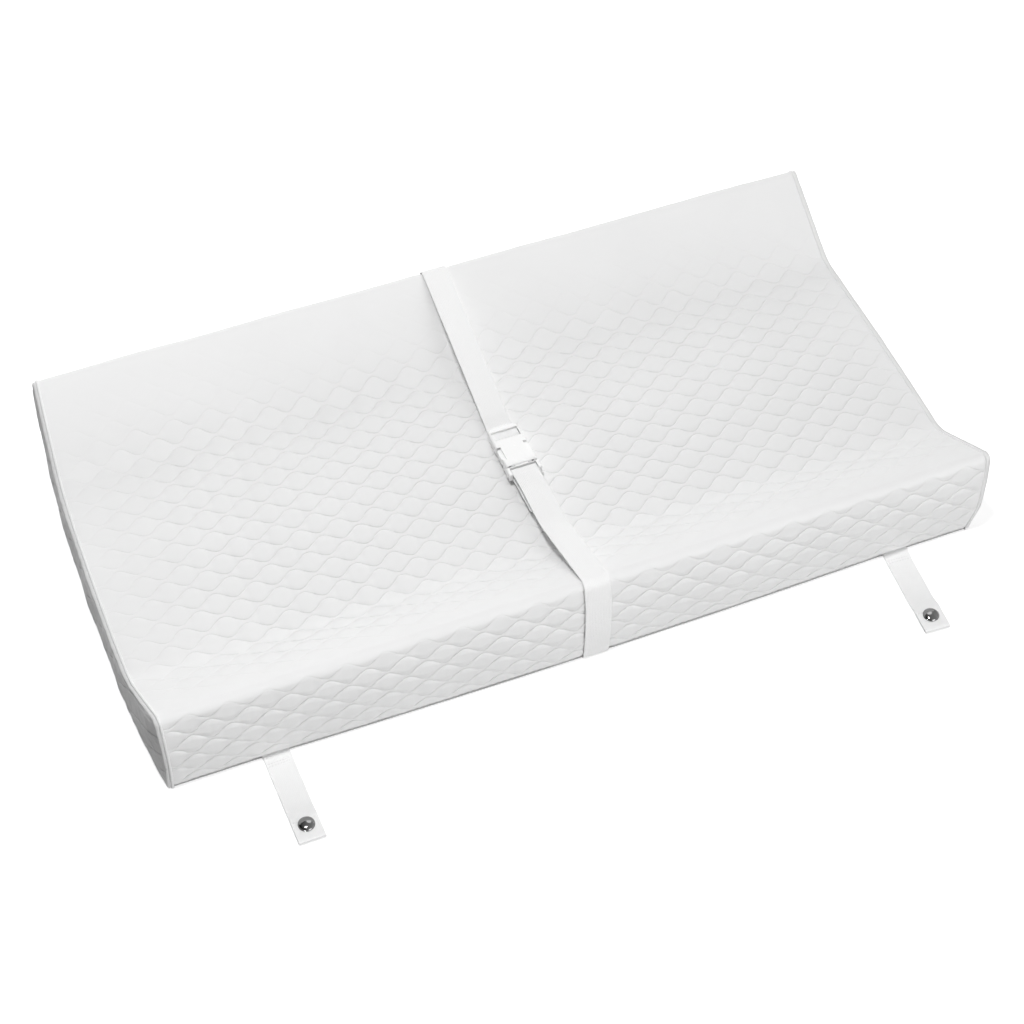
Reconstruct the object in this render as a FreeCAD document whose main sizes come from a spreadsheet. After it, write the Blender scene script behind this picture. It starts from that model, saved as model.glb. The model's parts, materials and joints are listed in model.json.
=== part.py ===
import FreeCAD, Part

import math
import os
import re

import Sketcher

# Contoured changing pad. Millimetres and degrees.
# Origin: centre of the pad's underside. +X runs along the pad, +Y towards its back, +Z up.
# The furniture straps leave the front long side, towards -Y.

DRIVING_SIZES = {
    # pad
    "pad_length": 787,
    "pad_depth": 406,
    "pad_height": 102,
    "valley_height": 51.5,
    "valley_crown": 2.3,
    "slope_run": 84,
    "ridge_radius": 6.5,
    "foot_radius": 12,
    "face_bulge": 3.6,
    # cover and base
    "cover_thickness": 3,
    "soft_gap": 0.4,
    "base_thickness": 1.2,
    "welt_width": 1.6,
    "welt_proud": 1.2,
    "seam_gap": 0.2,
    # webbing
    "web_width": 25,
    "web_thickness": 1.4,
    "web_lift": 0.5,
    "loop_gap": 0.3,
    "layer_gap": 0.2,
    "fold_gap": 0.15,
    "bend_radius": 14,
    "tab_length": 18,
    "belt_x": 4,
    "fold_length": 35,
    "tail_length": 46,
    "stitched_length": 30,
    "return_angle": 30,
    # buckle: lengths are measured from the plug's strap bar towards the housing
    "buckle_tilt": 5,
    "bar_y": -34.5,
    "bar_z": 64.9,
    "bar_radius": 1.7,
    "flange_rim": 1.5,
    "flange_half": 16.3,
    "flange_front": 3.5,
    "flange_back": 6.5,
    "flange_height": 8.6,
    "rail_half": 3,
    "rail_height": 3.4,
    "collar_half": 6.6,
    "collar_height": 7.2,
    "collar_end": 12,
    "rail_end": 30,
    "rail_point": 3,
    "mouth_start": 7.5,
    "housing_end": 59,
    "mouth_half": 15.5,
    "housing_rear_half": 14.8,
    "housing_corner": 3,
    "housing_height": 11.5,
    "housing_round": 2,
    "cavity_half": 12.5,
    "cavity_end": 33.5,
    "cavity_height": 8,
    "window_inner": 11.2,
    "window_start": 15.5,
    "window_end": 32.8,
    "arm_height": 7.4,
    "arm_root_x": 8.5,
    "arm_root_y": 8.2,
    "arm_root_half": 1.5,
    "arm_shoulder": 16,
    "arm_end": 31.7,
    "web_slot_half": 12.9,
    "web_slot_start": 41.4,
    "end_bar_width": 6,
    "end_bar_underside": -1.7,
    "loop_bar_y": 46,
    "loop_bar_z": -0.4,
    "loop_bar_radius": 1.8,
    "rear_web_z": -2.75,
    # furniture straps and their snaps
    "anchor_left_x": -296.5,
    "anchor_left_yaw": 1.2,
    "anchor_right_x": 309.5,
    "anchor_right_yaw": -3.2,
    "anchor_reach": 92,
    "snap_reach": 76,
    "anchor_rest_gap": 0.05,
    "snap_rise": 1.9,
    "snap_cap_radius": 7.5,
    "snap_cap_height": 3.3,
    "snap_post_radius": 1.8,
    "snap_socket_radius": 6.3,
    "snap_socket_height": 3,
    "stud_bore_radius": 2.8,
    "stud_bore_length": 2.2,
}

DOCUMENT = FreeCAD.newDocument("changing_pad")
SHEET = DOCUMENT.addObject("Spreadsheet::Sheet", "Sizes")
ALONG_X = FreeCAD.Vector(1, 0, 0)
# Turns a drawing's own x, y into the pad's Y, Z.
SECTION_TURN = FreeCAD.Rotation(FreeCAD.Vector(1, 1, 1), 120)
NODES = []


# ---------------------------------------------------------------- sheet and expressions


def fill_sheet():
    for row, (alias, value) in enumerate(DRIVING_SIZES.items(), start=1):
        SHEET.set(f"A{row}", alias)
        SHEET.set(f"B{row}", str(value))
        SHEET.setAlias(f"B{row}", alias)
    DOCUMENT.recompute()


def expression(text):
    """Puts the sheet's name in front of every alias in a formula."""
    return re.sub(r"[a-z_]+", lambda word: named(word.group()), str(text))


def named(word):
    return f"Sizes.{word}" if word in DRIVING_SIZES else word


def size(text):
    """The present value of a formula written in the sheet's aliases."""
    return float(SHEET.evalExpression(expression(text)))


def bind(thing, name, text):
    thing.setExpression(name, expression(text))


def keep(thing, label, placement=None):
    """Makes an object one of the pad's nodes."""
    thing.Label = label
    if placement is not None:
        thing.Placement = placement
    NODES.append(thing)
    return thing


# ---------------------------------------------------------------- sketches


def point(y, z):
    return FreeCAD.Vector(y, z, 0)


def rounded_line(corners, closed=False):
    """Lines through corners (y, z, radius), with a tangent arc at each corner that has a radius."""
    count = len(corners)
    cuts = []
    arcs = []
    for index, (y, z, radius) in enumerate(corners):
        here = point(y, z)
        if radius == 0:
            cuts.append((here, here))
            arcs.append(None)
            continue
        back = (point(*corners[index - 1][:2]) - here).normalize()
        ahead = (point(*corners[(index + 1) % count][:2]) - here).normalize()
        half_angle = back.getAngle(ahead) / 2
        reach = radius / math.tan(half_angle)
        middle = (back + ahead).normalize() * (radius / math.sin(half_angle) - radius)
        cuts.append((here + back * reach, here + ahead * reach))
        arcs.append(Part.Arc(here + back * reach, here + middle, here + ahead * reach))
    geometry = []
    for index in range(count):
        if arcs[index] is not None:
            geometry.append(arcs[index])
        following = (index + 1) % count
        if following == 0 and not closed:
            break
        start, end = cuts[index][1], cuts[following][0]
        if (end - start).Length > 1e-6:
            geometry.append(Part.LineSegment(start, end))
    return geometry


def shifted(corners, distance, closed=False):
    """The same line moved sideways, to the left of its direction when distance is positive."""
    moved = []
    last = len(corners) - 1
    for index, (y, z, radius) in enumerate(corners):
        here = point(y, z)
        arriving = here - point(*corners[index - 1][:2])
        leaving = point(*corners[(index + 1) % len(corners)][:2]) - here
        if not closed and index == 0:
            arriving = leaving
        if not closed and index == last:
            leaving = arriving
        before, after = sideways(arriving), sideways(leaving)
        place = here + (before + after) * (distance / (1 + before.dot(after)))
        turn = math.copysign(1, arriving.cross(leaving).z)
        moved.append((place.x, place.y, radius - turn * distance if radius else 0))
    return moved


def sideways(direction):
    return FreeCAD.Vector(-direction.y, direction.x, 0).normalize()


def section_sketch(name, geometry):
    """A sketch in the pad's YZ plane."""
    sketch = DOCUMENT.addObject("Sketcher::SketchObject", name)
    sketch.Placement = FreeCAD.Placement(FreeCAD.Vector(), SECTION_TURN)
    sketch.addGeometry(geometry)
    return sketch


def body_sketch(body, role, name):
    plane = [item for item in body.Origin.OriginFeatures if item.Role == role][0]
    sketch = body.newObject("Sketcher::SketchObject", name)
    sketch.AttachmentSupport = [(plane, "")]
    sketch.MapMode = "FlatFace"
    return sketch


def add_polygon(sketch, corners):
    """A closed outline whose corners are formulas, each held by two bound distances."""
    places = [point(size(x), size(y)) for x, y in corners]
    sides = []
    for index, place in enumerate(places):
        following = places[(index + 1) % len(places)]
        sides.append(sketch.addGeometry(Part.LineSegment(place, following)))
    for index, side in enumerate(sides):
        following = sides[(index + 1) % len(sides)]
        sketch.addConstraint(Sketcher.Constraint("Coincident", side, 2, following, 1))
    for side, place, formulas in zip(sides, places, corners):
        hold_point(sketch, side, 1, place, formulas)


def hold_point(sketch, geometry, end, place, formulas):
    for kind, value, text in zip(("DistanceX", "DistanceY"), place, formulas):
        index = sketch.addConstraint(Sketcher.Constraint(kind, -1, 1, geometry, end, value))
        bind(sketch, f"Constraints[{index}]", text)


def add_rectangle(sketch, left, low, right, high):
    add_polygon(sketch, [(left, low), (right, low), (right, high), (left, high)])


def add_circle(sketch, across, up, radius):
    centre = point(size(across), size(up))
    circle = sketch.addGeometry(Part.Circle(centre, FreeCAD.Vector(0, 0, 1), size(radius)))
    hold_point(sketch, circle, 3, centre, (across, up))
    index = sketch.addConstraint(Sketcher.Constraint("Radius", circle, size(radius)))
    bind(sketch, f"Constraints[{index}]", radius)


# ---------------------------------------------------------------- features


def centred(kind, body, sketch, length):
    """A Pad or Pocket that runs the same way to both sides of its sketch."""
    feature = body.newObject(f"PartDesign::{kind}", f"{sketch.Name}_{kind.lower()}")
    feature.Profile = sketch
    feature.SideType = "Symmetric"
    bind(feature, "Length", length)
    DOCUMENT.recompute()
    return feature


def round_edges(body, radius, wanted):
    """Rounds the edges of the body's tip that the test accepts."""
    tip = body.Tip
    names = [f"Edge{i}" for i, edge in enumerate(tip.Shape.Edges, start=1) if wanted(edge)]
    fillet = body.newObject("PartDesign::Fillet", f"{body.Name}_fillet")
    fillet.Base = (tip, names)
    fillet.Radius = radius
    DOCUMENT.recompute()
    return fillet


def extrude(name, geometry, length):
    """A solid of a YZ outline, centred on X = 0."""
    solid = DOCUMENT.addObject("Part::Extrusion", name)
    solid.Base = section_sketch(f"{name}_outline", geometry)
    solid.DirMode = "Custom"
    solid.Dir = ALONG_X
    solid.Symmetric = True
    solid.Solid = True
    bind(solid, "LengthFwd", length)
    return solid


def cut(name, base, tool):
    result = DOCUMENT.addObject("Part::Cut", name)
    result.Base = base
    result.Tool = tool
    return result


def fuse(name, shapes):
    result = DOCUMENT.addObject("Part::MultiFuse", name)
    result.Shapes = shapes
    return result


def box(name, length, width, height, x, y, z):
    """A box centred on X and Y about (x, y), standing on z. Every value is a formula."""
    block = DOCUMENT.addObject("Part::Box", name)
    bind(block, "Length", length)
    bind(block, "Width", width)
    bind(block, "Height", height)
    bind(block, "Placement.Base.x", f"{x} - ({length}) / 2")
    bind(block, "Placement.Base.y", f"{y} - ({width}) / 2")
    bind(block, "Placement.Base.z", z)
    return block


def webbing(name, corners):
    """A strip of webbing along a path in the YZ plane, with round ends."""
    half = size("web_thickness / 2")
    left = shifted(corners, half)
    right = shifted(corners, -half)[::-1]
    outline = rounded_line(left) + [round_end(left, right)]
    outline += rounded_line(right) + [round_end(right, left)]
    return extrude(name, outline, "web_width")


def round_end(arriving, leaving):
    """The half circle from the last corner of one side of a strip to the first of the other."""
    start, end = point(*arriving[-1][:2]), point(*leaving[0][:2])
    forward = start - point(*arriving[-2][:2])
    middle = (start + end) / 2 + forward.normalize() * ((end - start).Length / 2)
    return Part.Arc(start, middle, end)


# ---------------------------------------------------------------- shared geometry


class PadFace:
    """The bulged long side and its ridge, seen in section on the front (-Y) side."""

    def __init__(self):
        half_depth = size("pad_depth / 2")
        bulge = size("face_bulge")
        self.radius = size("ridge_radius")
        self.low = size("base_thickness")
        height = size("pad_height") - self.low
        # The side is a shallow arc with short straight ends, which lean out by this angle.
        straight_end = 6
        self.lean = math.atan(2 * bulge / ((height - self.radius) / 2 + straight_end))
        self.high = size("pad_height") - self.radius * (1 - math.sin(self.lean))
        half_chord = (self.high - self.low) / 2
        self.middle = self.low + half_chord
        self.side_radius = (half_chord - straight_end) / math.tan(self.lean)
        self.peak = -half_depth - half_chord * math.tan(self.lean)
        self.ridge_y = -half_depth + self.radius * math.cos(self.lean)
        self.ridge_z = self.high - self.radius * math.sin(self.lean)

    def corners(self, target_y, target_z, start_z, lift=0.0):
        """Corners of a line that climbs the side from start_z, rounds the ridge and runs straight to
        a target, at a distance lift outside the pad."""
        peak = self.peak - lift / math.cos(self.lean)
        start_y = peak + (self.middle - start_z) * math.tan(self.lean)
        slope = self.slope_to(target_y, target_z, lift)
        # The side's upper tangent meets the line that leaves the target at that slope.
        climb = math.tan(self.lean)
        reach = target_z + slope * (target_y - peak + self.middle * climb)
        top_z = reach / (1 + slope * climb)
        top_y = peak + (top_z - self.middle) * climb
        return [
            (start_y, start_z, 0),
            (peak, self.middle, self.side_radius + lift),
            (top_y, top_z, self.radius + lift),
        ]

    def slope_to(self, target_y, target_z, lift):
        """Fall per unit of Y on the tangent from the ridge to a target."""
        run = target_y - self.ridge_y
        fall = self.ridge_z - target_z
        distance = math.hypot(run, fall)
        return math.tan(math.atan2(fall, run) + math.asin((self.radius + lift) / distance))


def mirrored(corners):
    return [(-y, z, radius) for y, z, radius in reversed(corners)]


def buckle_point(along, up):
    """A point of the buckle, given from its strap bar along and across the tilted buckle."""
    tilt = math.radians(size("buckle_tilt"))
    y = size("bar_y") + along * math.cos(tilt) + up * math.sin(tilt)
    z = size("bar_z") - along * math.sin(tilt) + up * math.cos(tilt)
    return y, z


def buckle_placement():
    place = FreeCAD.Vector(size("belt_x"), size("bar_y"), size("bar_z"))
    return FreeCAD.Placement(place, FreeCAD.Rotation(ALONG_X, -size("buckle_tilt")))


def belt_placement():
    return FreeCAD.Placement(FreeCAD.Vector(size("belt_x"), 0, 0), FreeCAD.Rotation())


# ---------------------------------------------------------------- pad


def pad_corners(face):
    """Corners of the pad's outline above its base panel."""
    half_depth = size("pad_depth / 2")
    foot_y = -half_depth + size("slope_run")
    foot_z = size("valley_height")
    half_floor = -foot_y
    crown = size("valley_crown")
    # The floor is a shallow arc over its middle part, with straight ends.
    curved_part = 0.8
    crown_slope = crown / (1 - curved_part / 2) / half_floor
    crown_radius = curved_part * half_floor / crown_slope
    front = face.corners(foot_y, foot_z, face.low)
    foot = (foot_y, foot_z, size("foot_radius"))
    floor = (0, foot_z + crown_slope * half_floor, crown_radius)
    return front + [foot, floor] + mirrored([foot]) + mirrored(front)


def pad_outline(corners, inset):
    """The pad's outline, moved inwards by a formula's value."""
    return rounded_line(shifted(corners, -size(inset), closed=True), closed=True)


def sewn_slots():
    """Openings in the cover's lower edges that the webbing passes through."""
    slots = []
    for name, x, side in (
        ("belt_front_slot", "belt_x", -1),
        ("belt_rear_slot", "belt_x", 1),
        ("anchor_left_slot", "anchor_left_x", -1),
        ("anchor_right_slot", "anchor_right_x", -1),
    ):
        y = f"{side} * pad_depth / 2"
        slots.append(
            box(name, "web_width + 3", "30", "web_thickness + 0.6", x, y, "base_thickness - 0.2")
        )
    return slots


def underside_opening(name):
    """Opens the bottom of a hollow outline between its two long sides."""
    width = "pad_depth - 2 * cover_thickness"
    height = "base_thickness + cover_thickness + 1"
    return box(f"{name}_opening", "pad_length", width, height, "0", "0", "0")


def make_cover(corners):
    cover_length = "pad_length - 2 * (cover_thickness + welt_width + 2 * seam_gap)"
    outside = extrude("cover_outside", pad_outline(corners, "0"), cover_length)
    inside = extrude("cover_inside", pad_outline(corners, "cover_thickness"), "pad_length")
    hollow = fuse("cover_hollow", [inside, underside_opening("cover")] + sewn_slots())
    keep(cut("cover", outside, hollow), "quilted_cover")


def make_foam(corners):
    length = "pad_length - 2 * (cover_thickness + soft_gap)"
    upper = extrude("foam_upper", pad_outline(corners, "cover_thickness + soft_gap"), length)
    tab_top = "base_thickness + web_thickness + soft_gap"
    width = "pad_depth - 2 * (cover_thickness + soft_gap)"
    lower = box("foam_lower", length, width, "cover_thickness + 2", "0", "0", tab_top)
    keep(fuse("foam", [upper, lower]), "foam_core")


def make_ends(corners):
    for side, name in ((-1, "left"), (1, "right")):
        panel = extrude(f"end_{name}", pad_outline(corners, "0"), "cover_thickness")
        bind(panel, "Placement.Base.x", f"{side} * (pad_length - cover_thickness) / 2")
        keep(panel, f"end_panel_{name}")

        rim = extrude(f"welt_rim_{name}", pad_outline(corners, "-welt_proud"), "welt_width")
        inner = pad_outline(corners, "cover_thickness")
        core = extrude(f"welt_core_{name}", inner, "welt_width + 2")
        under = box(f"welt_under_{name}", "10", "pad_depth + 20", "base_thickness + 8", "0", "0", "-8")
        tools = fuse(f"welt_tools_{name}", [core, under, underside_opening(f"welt_{name}")])
        welt = cut(f"welt_{name}", rim, tools)
        centre = "pad_length / 2 - cover_thickness - seam_gap - welt_width / 2"
        bind(welt, "Placement.Base.x", f"{side} * ({centre})")
        keep(welt, f"end_welt_{name}")


def make_base():
    body = DOCUMENT.addObject("PartDesign::Body", "base")
    sketch = body_sketch(body, "XY_Plane", "base_outline")
    half_x, half_y = "(pad_length / 2 - 1)", "(pad_depth / 2 - 1)"
    add_rectangle(sketch, f"-{half_x}", f"-{half_y}", half_x, half_y)
    pad = body.newObject("PartDesign::Pad", "base_sheet")
    pad.Profile = sketch
    bind(pad, "Length", "base_thickness")
    DOCUMENT.recompute()
    round_edges(body, 6, lambda edge: abs(edge.tangentAt(edge.FirstParameter).z) > 0.9)
    keep(body, "base_panel")


# ---------------------------------------------------------------- belt


def web_middle():
    """Height of the middle of webbing that lies on the base panel."""
    return size("base_thickness + web_thickness / 2 + 0.1")


def belt_over_side(face, target_y, target_z):
    """The belt's path from its sewn end, up the long side and over the ridge to a target."""
    lift = size("web_thickness / 2 + web_lift")
    climb = face.corners(target_y, target_z, web_middle(), lift)
    foot_y, foot_z, _ = climb[0]
    sewn_end = (size("tab_length - pad_depth / 2"), foot_z, 0)
    turn = (foot_y, foot_z, 1.5)
    return [sewn_end, turn] + climb[1:]


def make_front_belt(face):
    """The fixed front half, then two folds of equal length that lie in line with the buckle."""
    fold = size("fold_length")
    hinge_gap = size("web_thickness + fold_gap")
    hinge_y, hinge_z = buckle_point(-2 * fold, 0)
    path = belt_over_side(face, hinge_y, hinge_z) + [(hinge_y, hinge_z, 0)]
    keep(webbing("front_belt", path), "belt_front", belt_placement())

    lower_fold = [(hinge_gap - 2 * fold, 0, 0), (-fold, 0, 0)]
    keep(webbing("lower_fold", lower_fold), "belt_fold_lower", buckle_placement())

    # Over the strap bar, down behind it and forward again.
    loop = size("bar_radius + loop_gap + web_thickness / 2")
    upper_fold = [
        (hinge_gap - fold, 0, 0),
        (-2 * loop, loop, 2 * loop),
        (loop, loop, loop),
        (loop, -loop, loop),
        (0, -loop, 0),
    ]
    keep(webbing("upper_fold", upper_fold), "belt_fold_upper", buckle_placement())

    tail_drop = loop + size("web_thickness + loop_gap")
    tail = [(1, -tail_drop, 0), (-size("tail_length"), -tail_drop, 0)]
    keep(webbing("tail", tail), "belt_tail", buckle_placement())


def make_rear_belt(face):
    """Over the back ridge, under the housing's end, round its bar and back under itself."""
    layer = size("web_thickness + layer_gap")
    loop_y, loop_z = size("loop_bar_y"), size("loop_bar_z")
    loop = size("loop_bar_radius + loop_gap + web_thickness / 2")
    upper_z = size("rear_web_z")
    lower_z = upper_z - layer
    bend_y = size("housing_end + 4")
    bend_radius = size("bend_radius")
    drop = math.radians(size("return_angle"))
    bend = buckle_point(bend_y, upper_z)

    climb = belt_over_side(face, -bend[0], bend[1])
    over = [(-y, z, radius) for y, z, radius in climb]
    slope = face.slope_to(-bend[0], bend[1], size("web_thickness / 2 + web_lift"))
    rise = math.atan(slope) + math.radians(size("buckle_tilt"))
    # The returning layer runs parallel below the first one and turns up with it.
    turn_y = bend_y + layer * math.tan(rise / 2)
    stitched = size("stitched_length")
    round_bar = [
        (bend_y, upper_z, bend_radius),
        (loop_y + loop, upper_z, 1),
        (loop_y + loop, loop_z + loop, loop),
        (loop_y - loop, loop_z + loop, loop),
        (loop_y - loop, loop_z - loop * math.tan(drop), loop),
    ]
    fall = loop_z - loop * math.tan(drop) - lower_z
    round_bar += [
        (loop_y - loop + fall / math.tan(drop), lower_z, 2),
        (turn_y, lower_z, bend_radius + layer),
        (turn_y + stitched * math.cos(rise), lower_z + stitched * math.sin(rise), 0),
    ]
    path = over + [buckle_point(y, z) + (radius,) for y, z, radius in round_bar]
    keep(webbing("rear_belt", path), "belt_rear", belt_placement())


# ---------------------------------------------------------------- buckle


def on_top_or_bottom(height):
    half = height / 2 - 0.01
    return lambda edge: abs(edge.BoundBox.ZMin) > half and edge.BoundBox.ZLength < 0.01


def make_housing():
    body = DOCUMENT.addObject("PartDesign::Body", "housing")
    outline = body_sketch(body, "XY_Plane", "housing_outline")
    add_polygon(outline, [
        ("-mouth_half", "mouth_start"),
        ("mouth_half", "mouth_start"),
        ("mouth_half", "cavity_end"),
        ("housing_rear_half", "housing_end - housing_corner"),
        ("housing_rear_half - housing_corner", "housing_end"),
        ("housing_corner - housing_rear_half", "housing_end"),
        ("-housing_rear_half", "housing_end - housing_corner"),
        ("-mouth_half", "cavity_end"),
    ])
    centred("Pad", body, outline, "housing_height")
    round_edges(body, size("housing_round"), on_top_or_bottom(size("housing_height")))

    cavity = body_sketch(body, "XY_Plane", "plug_cavity")
    add_rectangle(cavity, "-cavity_half", "mouth_start - 2", "cavity_half", "cavity_end")
    centred("Pocket", body, cavity, "cavity_height")

    windows = body_sketch(body, "XY_Plane", "arm_windows")
    for side in ("-1", "1"):
        inner, outer = f"{side} * window_inner", f"{side} * (mouth_half + 2)"
        add_rectangle(windows, inner, "window_start", outer, "window_end")
    centred("Pocket", body, windows, "housing_height + 2")

    slot = body_sketch(body, "XY_Plane", "web_slot")
    slot_end = "housing_end - end_bar_width"
    add_rectangle(slot, "-web_slot_half", "web_slot_start", "web_slot_half", slot_end)
    centred("Pocket", body, slot, "housing_height + 2")

    under_end = body_sketch(body, "YZ_Plane", "strap_way_under_end")
    inside_slot = f"{slot_end} - 1"
    add_rectangle(under_end, inside_slot, "-housing_height", "housing_end + 2", "end_bar_underside")
    centred("Pocket", body, under_end, "2 * web_slot_half")

    bar = body_sketch(body, "YZ_Plane", "loop_bar")
    add_circle(bar, "loop_bar_y", "loop_bar_z", "loop_bar_radius")
    centred("Pad", body, bar, "2 * housing_rear_half - 1")
    keep(body, "buckle_housing", buckle_placement())


def make_insert():
    body = DOCUMENT.addObject("PartDesign::Body", "insert")
    flange = body_sketch(body, "XY_Plane", "flange")
    add_rectangle(flange, "-flange_half", "-flange_front", "flange_half", "flange_back")
    centred("Pad", body, flange, "flange_height")
    round_edges(body, size("flange_rim"), on_top_or_bottom(size("flange_height")))

    slot = body_sketch(body, "XY_Plane", "strap_slot")
    slot_half = "(web_slot_half + layer_gap)"
    slot_end = "flange_back - flange_rim"
    add_rectangle(slot, f"-{slot_half}", "-flange_front - 2", slot_half, slot_end)
    centred("Pocket", body, slot, "flange_height + 2")

    bar = body_sketch(body, "YZ_Plane", "strap_bar")
    add_circle(bar, "0", "0", "bar_radius")
    centred("Pad", body, bar, "2 * flange_half - 2")

    rail = body_sketch(body, "XY_Plane", "guide_rail")
    add_polygon(rail, [
        ("-rail_half", "flange_back - 1"),
        ("rail_half", "flange_back - 1"),
        ("rail_half", "rail_end - rail_point"),
        ("rail_half / 2", "rail_end"),
        ("-rail_half / 2", "rail_end"),
        ("-rail_half", "rail_end - rail_point"),
    ])
    centred("Pad", body, rail, "rail_height")

    collar = body_sketch(body, "XY_Plane", "mouth_collar")
    add_rectangle(collar, "-collar_half", "flange_back - 1", "collar_half", "collar_end")
    centred("Pad", body, collar, "collar_height")
    keep(body, "buckle_insert", buckle_placement())


def make_arm(name, side):
    """A sprung arm: slim at its root, with a catch shoulder and a thumb pad that fills the window."""
    body = DOCUMENT.addObject("PartDesign::Body", f"arm_{name}")
    outline = body_sketch(body, "XY_Plane", f"arm_{name}_outline")
    corners = [
        ("arm_root_x - arm_root_half", "arm_root_y - 1.3"),
        ("arm_root_x + arm_root_half", "arm_root_y - 1.3"),
        ("cavity_half - 0.6", "arm_shoulder - 1.5"),
        ("cavity_half - 0.5", "arm_shoulder"),
        ("cavity_half + 1.4", "arm_shoulder"),
        ("mouth_half - 0.1", "arm_shoulder + 3.5"),
        ("mouth_half - 0.1", "arm_end - 2.5"),
        ("mouth_half - 1", "arm_end - 0.4"),
        ("mouth_half - 2.2", "arm_end"),
        ("cavity_half - 3.2", "arm_end"),
        ("cavity_half - 3", "arm_shoulder + 1"),
    ]
    add_polygon(outline, [(f"{side} * ({x})", y) for x, y in corners])
    centred("Pad", body, outline, "arm_height")
    keep(body, f"release_arm_{name}", buckle_placement())


# ---------------------------------------------------------------- furniture straps


def revolve(body, sketch):
    axis = [item for item in body.Origin.OriginFeatures if item.Role == "Z_Axis"][0]
    turned = body.newObject("PartDesign::Revolution", f"{sketch.Name}_turned")
    turned.Profile = sketch
    turned.ReferenceAxis = (axis, [""])
    turned.Angle = 360
    DOCUMENT.recompute()


def make_snap(name, placement):
    """A domed cap on top of the webbing and the spring socket below it. Local Z = 0 is the middle
    of the webbing."""
    top = "web_thickness / 2 + 0.05"
    cap = DOCUMENT.addObject("PartDesign::Body", f"cap_{name}")
    half = body_sketch(cap, "XZ_Plane", f"cap_{name}_half")
    add_polygon(half, [
        ("0", "-web_thickness / 2 - 0.5"),
        ("snap_post_radius", "-web_thickness / 2 - 0.5"),
        ("snap_post_radius", top),
        ("snap_cap_radius", top),
        ("snap_cap_radius", f"{top} + 0.7"),
        ("0.87 * snap_cap_radius", f"{top} + 0.6 * snap_cap_height"),
        ("0.5 * snap_cap_radius", f"{top} + 0.9 * snap_cap_height"),
        ("0.2 * snap_cap_radius", f"{top} + snap_cap_height"),
        ("0", f"{top} + snap_cap_height"),
    ])
    revolve(cap, half)
    keep(cap, f"snap_cap_{name}", placement)

    low = "-web_thickness / 2 - 0.05"
    socket = DOCUMENT.addObject("PartDesign::Body", f"socket_{name}")
    half = body_sketch(socket, "XZ_Plane", f"socket_{name}_half")
    add_polygon(half, [
        ("snap_post_radius + 0.3", low),
        ("snap_socket_radius", low),
        ("snap_socket_radius", f"{low} - snap_socket_height + 0.8"),
        ("snap_socket_radius - 0.8", f"{low} - snap_socket_height"),
        ("stud_bore_radius", f"{low} - snap_socket_height"),
        ("stud_bore_radius", f"{low} - snap_socket_height + stud_bore_length"),
        ("snap_post_radius + 0.3", f"{low} - snap_socket_height + stud_bore_length"),
    ])
    revolve(socket, half)
    keep(socket, f"snap_socket_{name}", placement)


def make_anchor(name, x, yaw):
    """A strap hinged where it leaves the seam. It drops to the surface the pad stands on and rises
    again at its snap, whose socket is below it."""
    hinge = FreeCAD.Vector(size(x), -size("pad_depth / 2 + 3"), web_middle())
    turn = FreeCAD.Rotation(FreeCAD.Vector(0, 0, 1), size(yaw))
    placement = FreeCAD.Placement(hinge, turn)
    gap = size("web_thickness + fold_gap")
    resting = size("web_thickness / 2 + anchor_rest_gap") - web_middle()
    rise = size("snap_rise")
    path = [
        (-gap, 0, 0),
        (-gap - 7, resting, size("bend_radius") / 2),
        (19 - size("snap_reach"), resting, size("bend_radius")),
        (9 - size("snap_reach"), rise, size("bend_radius")),
        (-size("anchor_reach"), rise, 0),
    ]
    hole = DOCUMENT.addObject("Part::Cylinder", f"snap_hole_{name}")
    bind(hole, "Radius", "snap_post_radius + 0.3")
    hole.Height = 10
    bind(hole, "Placement.Base.y", "-snap_reach")
    strap = cut(f"anchor_{name}", webbing(f"anchor_{name}_web", path), hole)
    keep(strap, f"anchor_strap_{name}", placement)

    tab_path = [(0, 0, 0), (size("tab_length + 3"), 0, 0)]
    keep(webbing(f"anchor_{name}_tab", tab_path), f"anchor_tab_{name}", placement)

    snap_offset = FreeCAD.Placement(
        FreeCAD.Vector(0, -size("snap_reach"), rise), FreeCAD.Rotation()
    )
    make_snap(name, placement * snap_offset)


# ---------------------------------------------------------------- build and write


def check_document():
    for thing in DOCUMENT.Objects:
        if "Invalid" in thing.State or "Error" in thing.State:
            raise RuntimeError(f"{thing.Name} failed: {thing.State}")
    for node in NODES:
        if node.Shape.isNull() or not node.Shape.isValid() or not node.Shape.Solids:
            raise RuntimeError(f"{node.Label} has no valid solid")


def write_nodes():
    os.makedirs("parts", exist_ok=True)
    for node in NODES:
        node.Shape.exportStep(f"parts/{node.Label}.step")


fill_sheet()
pad_face = PadFace()
pad_line = pad_corners(pad_face)
make_cover(pad_line)
make_foam(pad_line)
make_ends(pad_line)
make_base()
make_front_belt(pad_face)
make_rear_belt(pad_face)
make_housing()
make_insert()
make_arm("left", -1)
make_arm("right", 1)
make_anchor("left", "anchor_left_x", "anchor_left_yaw")
make_anchor("right", "anchor_right_x", "anchor_right_yaw")
DOCUMENT.recompute()
check_document()
write_nodes()
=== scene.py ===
import json
import math

import bpy
import numpy as np
from mathutils import Matrix, Vector


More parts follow.
